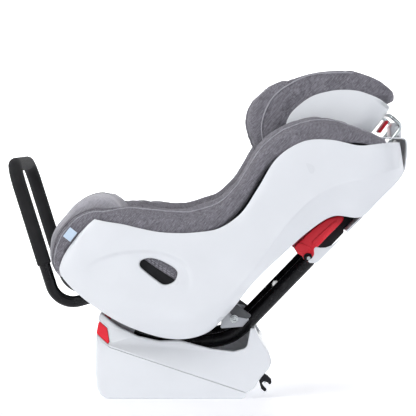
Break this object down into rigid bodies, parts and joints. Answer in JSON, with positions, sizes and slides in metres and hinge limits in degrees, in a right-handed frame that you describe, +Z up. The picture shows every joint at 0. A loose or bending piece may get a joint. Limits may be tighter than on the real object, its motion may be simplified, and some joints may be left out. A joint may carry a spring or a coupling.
{
  "type": "convertible car seat",
  "caption": "Rear-facing convertible child car seat with a white side shell, padded bolsters and headrest, five-point harness, open base with a wedge and a bent anti-rebound bar.",
  "frame": {"origin": "centre of the flat underside of the base", "axes": "+Z up; +X towards the headrest end, so the child faces -X; +Y towards the child's right"},
  "size_m": [0.8735, 0.4304, 0.7212],
  "materials": {
    "shell_white": "smooth moulded white",
    "inner_plastic": "black moulded",
    "grey_plastic": "grey moulded",
    "red_plastic": "red moulded",
    "fabric_grey": "melange knit, padded",
    "fabric_dark": "darker melange knit, padded",
    "fabric_light": "light grey melange knit, padded",
    "webbing": "woven webbing",
    "black_tube": "gloss black powder coat",
    "black_foam": "soft black foam sleeve",
    "steel": "bright steel",
    "aluminium": "plain aluminium"
  },
  "bodies": {
    "wedge": {"rear_facing_wedge": "shell_white", "crush_block": "aluminium", "base_steel_plate": "steel"},
    "base": {"base_housing": "shell_white"},
    "recline_handle": {"recline_handle": "red_plastic"},
    "lock_bar": {"recline_lock_bar": "steel"},
    "latch_left": {"latch_arm_left": "inner_plastic"},
    "latch_right": {"latch_arm_right": "inner_plastic"},
    "latch_jaw_left": {"latch_jaw_left": "steel"},
    "latch_jaw_right": {"latch_jaw_right": "steel"},
    "lockoff_left": {"lockoff_lever_left": "red_plastic"},
    "lockoff_right": {"lockoff_lever_right": "red_plastic"},
    "headrest": {"headrest_shell": "shell_white", "headrest_pad": "fabric_grey", "headrest_rod": "steel"},
    "headrest_release": {"headrest_release": "red_plastic"},
    "rebound_bar": {"rebound_bar_tube": "black_tube", "rebound_bar_sleeve": "black_foam"},
    "buckle_button": {"buckle_button": "red_plastic"},
    "adjuster_button": {"adjuster_button": "red_plastic"},
    "seat": {"side_shell_left": "shell_white", "side_shell_right": "shell_white", "back_cover": "shell_white", "fabric_tag": "shell_white", "seat_bucket": "inner_plastic", "chest_clip": "inner_plastic", "harness_buckle": "inner_plastic", "adjuster_housing": "inner_plastic", "frame_guard_left": "grey_plastic", "frame_guard_right": "grey_plastic", "rod_sleeve_left": "grey_plastic", "rod_sleeve_right": "grey_plastic", "bolster_left": "fabric_grey", "bolster_right": "fabric_grey", "seat_cushion": "fabric_dark", "back_cushion": "fabric_dark", "shoulder_pad_left": "fabric_dark", "shoulder_pad_right": "fabric_dark", "front_roll": "fabric_light", "shoulder_strap_left": "webbing", "shoulder_strap_right": "webbing", "lap_strap_left": "webbing", "lap_strap_right": "webbing", "crotch_strap": "webbing", "adjuster_strap": "webbing", "frame_tube_left": "black_tube", "frame_tube_right": "black_tube", "frame_cross_tube": "black_tube", "bar_socket_left": "black_tube", "bar_socket_right": "black_tube", "bracket_bolt_left": "steel", "bracket_bolt_right": "steel", "lockoff_pin_left": "steel", "lockoff_pin_right": "steel", "harness_tongue_left": "steel", "harness_tongue_right": "steel", "frame_bracket_left": "aluminium", "frame_bracket_right": "aluminium", "recline_rack_left": "aluminium", "recline_rack_right": "aluminium"}
  },
  "joints": [
    {"name": "wedge_clip", "type": "slide", "parent": "wedge", "child": "base", "axis": [0, 0, 1], "range_m": [0, 0.05]},
    {"name": "seat_recline", "type": "hinge", "parent": "base", "child": "seat", "pos_m": [-0.015, 0, 0.312], "axis": [0, -1, 0], "range_deg": [0, 10]},
    {"name": "recline_handle_pull", "type": "slide", "parent": "base", "child": "recline_handle", "axis": [-0.7249, 0, 0.6889], "range_m": [0, 0.012], "stiffness_N_per_m": 500, "springref_m": -0.004},
    {"name": "lock_bar_drop", "type": "slide", "parent": "base", "child": "lock_bar", "axis": [-0.5, 0, -0.866], "range_m": [0, 0.009]},
    {"name": "latch_slide_left", "type": "slide", "parent": "base", "child": "latch_left", "axis": [1, 0, 0], "range_m": [0, 0.025]},
    {"name": "latch_jaw_hinge_left", "type": "hinge", "parent": "latch_left", "child": "latch_jaw_left", "pos_m": [0.2, -0.136, 0.0455], "axis": [0, 1, 0], "range_deg": [0, 20], "stiffness_Nm_per_rad": 0.05, "springref_deg": -11.46},
    {"name": "lockoff_hinge_left", "type": "hinge", "parent": "seat", "child": "lockoff_left", "pos_m": [0.293, -0.112, 0.309], "axis": [0, -1, 0], "range_deg": [0, 28]},
    {"name": "latch_slide_right", "type": "slide", "parent": "base", "child": "latch_right", "axis": [1, 0, 0], "range_m": [0, 0.025]},
    {"name": "latch_jaw_hinge_right", "type": "hinge", "parent": "latch_right", "child": "latch_jaw_right", "pos_m": [0.2, 0.136, 0.0455], "axis": [0, 1, 0], "range_deg": [0, 20], "stiffness_Nm_per_rad": 0.05, "springref_deg": -11.46},
    {"name": "lockoff_hinge_right", "type": "hinge", "parent": "seat", "child": "lockoff_right", "pos_m": [0.293, 0.112, 0.309], "axis": [0, -1, 0], "range_deg": [0, 28]},
    {"name": "headrest_height", "type": "slide", "parent": "seat", "child": "headrest", "axis": [0.5948, 0, 0.8039], "range_m": [0, 0.09]},
    {"name": "headrest_release_squeeze", "type": "slide", "parent": "headrest", "child": "headrest_release", "axis": [0.5948, 0, 0.8039], "range_m": [0, 0.006], "stiffness_N_per_m": 400, "springref_m": -0.003},
    {"name": "rebound_bar_pull", "type": "slide", "parent": "seat", "child": "rebound_bar", "axis": [-0.9632, 0, -0.2689], "range_m": [0, 0.06]},
    {"name": "buckle_press", "type": "slide", "parent": "seat", "child": "buckle_button", "axis": [0.4695, 0, -0.8829], "range_m": [0, 0.004], "stiffness_N_per_m": 800, "springref_m": -0.001},
    {"name": "adjuster_press", "type": "slide", "parent": "seat", "child": "adjuster_button", "axis": [-0.515, 0, -0.8572], "range_m": [0, 0.004], "stiffness_N_per_m": 800, "springref_m": -0.001}
  ],
  "couplings": [
    {"joint": "lock_bar_drop", "follows": "recline_handle_pull", "ratio": 0.7}
  ]
}
